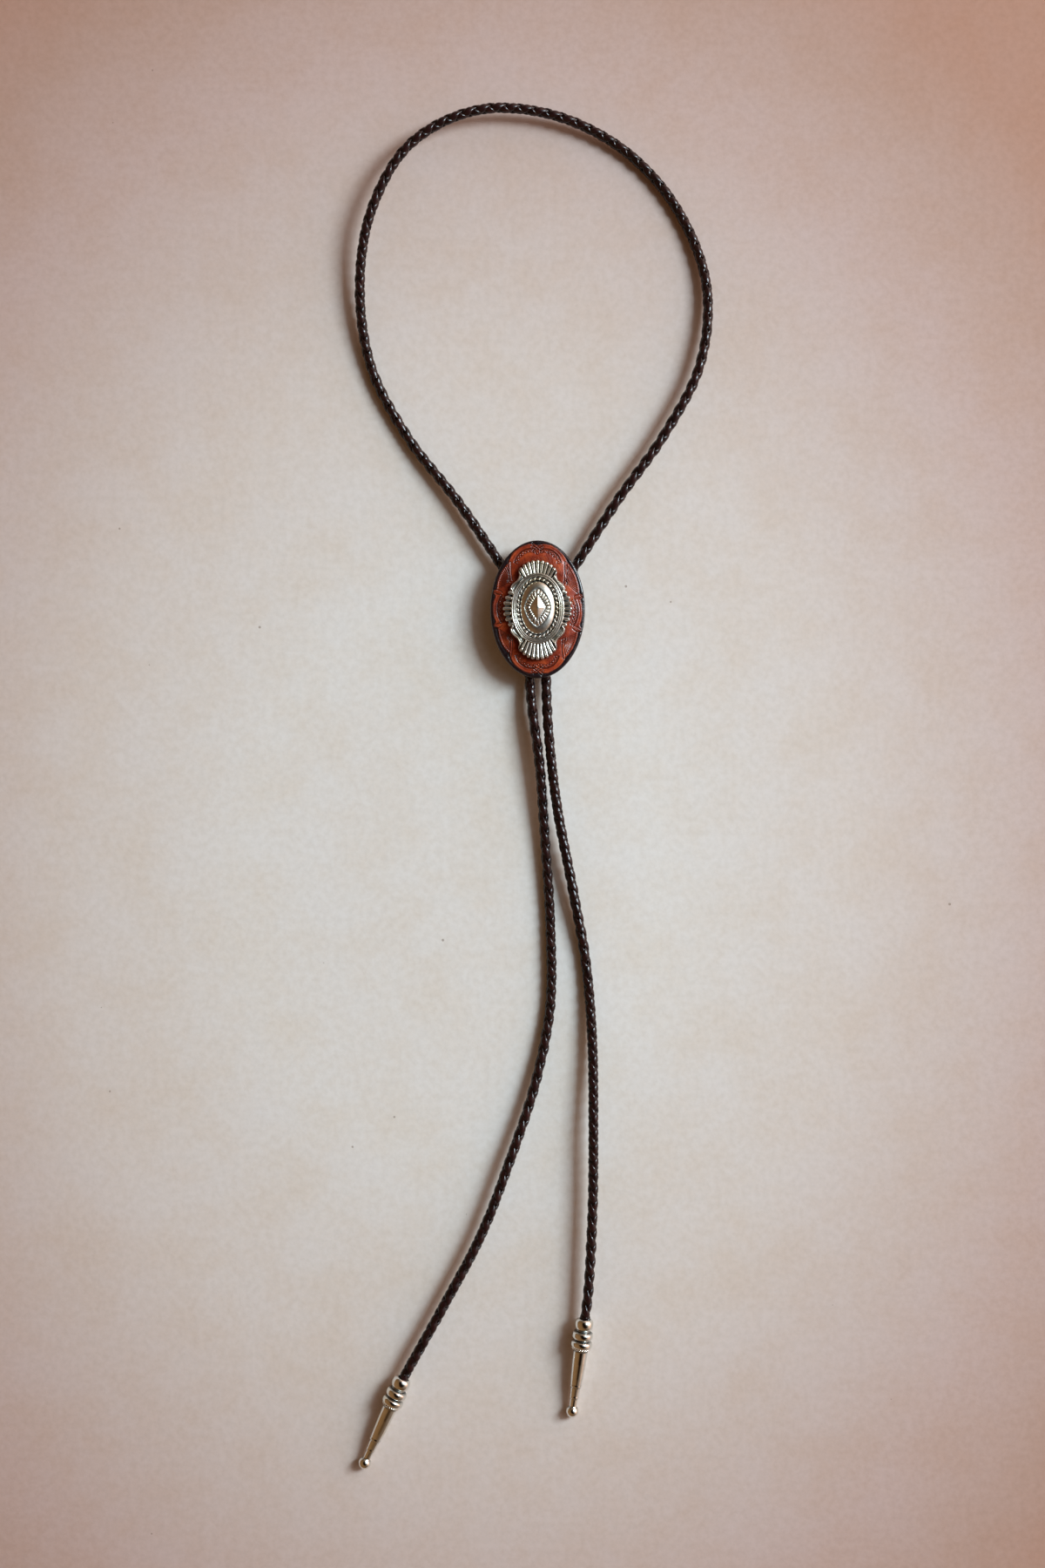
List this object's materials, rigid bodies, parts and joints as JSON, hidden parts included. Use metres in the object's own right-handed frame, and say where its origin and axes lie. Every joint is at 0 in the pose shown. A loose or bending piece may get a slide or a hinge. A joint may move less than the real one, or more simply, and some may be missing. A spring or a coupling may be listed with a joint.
{
  "type": "bolo tie",
  "caption": "Bolo tie lying flat: braided leather cord with metal tips, held by a slide of tooled leather and a ribbed oval silver concho.",
  "frame": {"origin": "middle of the cord clip's flat back, on the surface the tie lies on", "axes": "+Y up the tie towards the neck loop, +X to the right as the slide is seen, +Z out of the slide's face"},
  "size_m": [0.1247, 0.4756, 0.0148],
  "materials": {
    "braid": "near-black brown braided leather, lightly waxed, with small glints",
    "tooled_leather": "cognac tooled leather, glossy, with a burnished black-brown edge",
    "antique_silver": "antiqued silver, polished high points and dark recesses",
    "clip_metal": "plain brushed metal",
    "polished_nickel": "polished nickel-silver, light fine scratches"
  },
  "bodies": {
    "root": {"braided_cord": "braid", "leather_backing": "tooled_leather", "concho": "antique_silver", "cord_clip": "clip_metal", "tip_left": "polished_nickel", "tip_right": "polished_nickel"}
  },
  "joints": []
}
